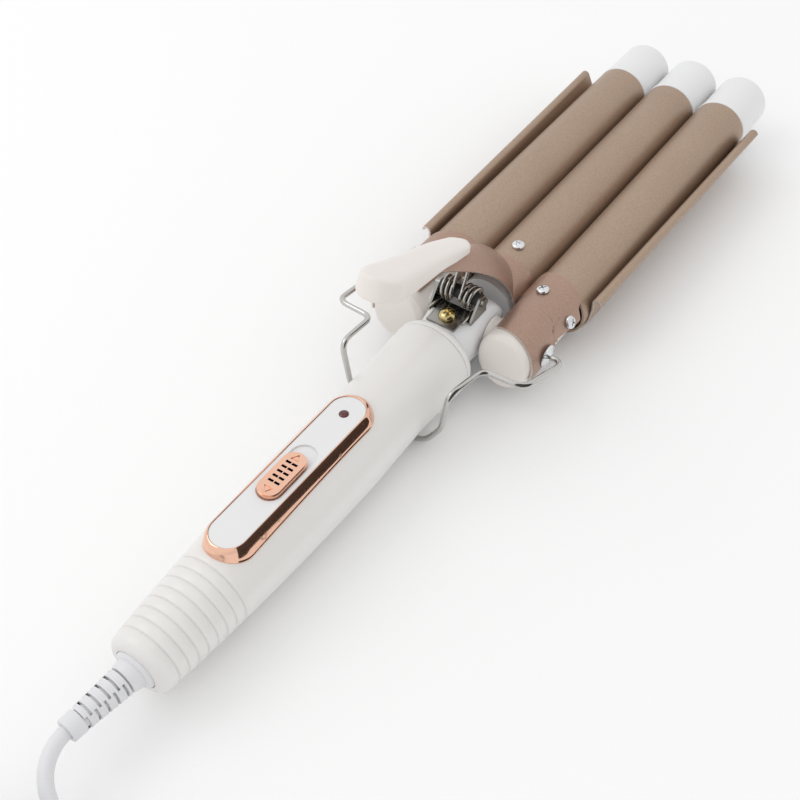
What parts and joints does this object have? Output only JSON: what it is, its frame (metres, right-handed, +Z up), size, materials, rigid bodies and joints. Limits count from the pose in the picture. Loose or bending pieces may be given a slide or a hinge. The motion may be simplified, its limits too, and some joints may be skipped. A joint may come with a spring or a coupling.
{
  "type": "hair waver",
  "caption": "Hair waver with round heated barrels side by side, a sprung thumb lever, a troughed clamp plate, a wire stand, a slide switch and a mains cord with plug.",
  "frame": {"origin": "on the table, midway between the tail of the handle and the tips of the barrels, measured without the cord", "axes": "+X along the barrels towards their tips, +Y to the left of someone who holds the handle, +Z up from the table"},
  "size_m": [0.5526, 0.1045, 0.0877],
  "materials": {
    "white_shell": "satin white",
    "ivory": "satin warm white",
    "copper_trim": "copper-coloured mirror plating",
    "brown_metal": "champagne-brown metallic coating, satin",
    "bridge_metal": "brown metallic coating, bare bright edges",
    "steel": "bright",
    "brass": "polished",
    "lens": "dark red",
    "ceramic": "matt",
    "aluminium": "extruded",
    "board": "green laminate",
    "black_plastic": "matt black",
    "cord_white": "satin white"
  },
  "bodies": {
    "handle": {"handle_housing": "white_shell", "front_collar": "white_shell", "hub": "white_shell", "hub_screws": "steel", "trim_ring": "copper_trim", "control_panel": "white_shell", "indicator_lens": "lens", "slide_switch": "black_plastic", "circuit_board": "board", "board_posts": "white_shell", "board_screws": "steel", "indicator_lamp": "black_plastic", "power_parts": "black_plastic", "spring_saddle": "steel", "saddle_screw": "brass", "spring_pin": "steel", "spring_bush": "black_plastic", "closing_spring": "steel", "clamp_plate": "brown_metal", "plate_carrier": "steel", "carrier_screws": "steel", "plate_rivets": "steel", "strain_relief": "cord_white", "cord": "cord_white", "cord_coil": "cord_white", "plug": "cord_white", "plug_pins": "steel"},
    "jaw": {"barrel_left": "brown_metal", "barrel_middle": "brown_metal", "barrel_right": "brown_metal", "tip_cap_left": "white_shell", "tip_cap_middle": "white_shell", "tip_cap_right": "white_shell", "heat_spreader_left": "aluminium", "heat_spreader_middle": "aluminium", "heat_spreader_right": "aluminium", "heating_plate_left": "ceramic", "heating_plate_middle": "ceramic", "heating_plate_right": "ceramic", "base_plug_left": "white_shell", "base_plug_middle": "white_shell", "base_plug_right": "white_shell", "barrel_bridge": "bridge_metal", "bridge_screws": "steel", "thumb_lever": "ivory", "lever_screws": "steel"},
    "stand": {"stand_wire": "steel", "stand_washers": "steel"},
    "switch": {"switch_knob": "copper_trim"}
  },
  "joints": [
    {"name": "jaw_hinge", "type": "hinge", "parent": "handle", "child": "jaw", "pos_m": [-0.0085, 0, 0.02171], "axis": [0, -1, 0], "range_deg": [0, 25], "stiffness_Nm_per_rad": 1.2, "springref_deg": -20.05, "deforming": ["closing_spring"]},
    {"name": "stand_swing", "type": "hinge", "parent": "jaw", "child": "stand", "pos_m": [-0.0085, 0, 0.02171], "axis": [0, -1, 0], "range_deg": [0, 105]},
    {"name": "switch_slide", "type": "slide", "parent": "handle", "child": "switch", "axis": [1, 0, 0], "range_m": [0, 0.005]}
  ]
}
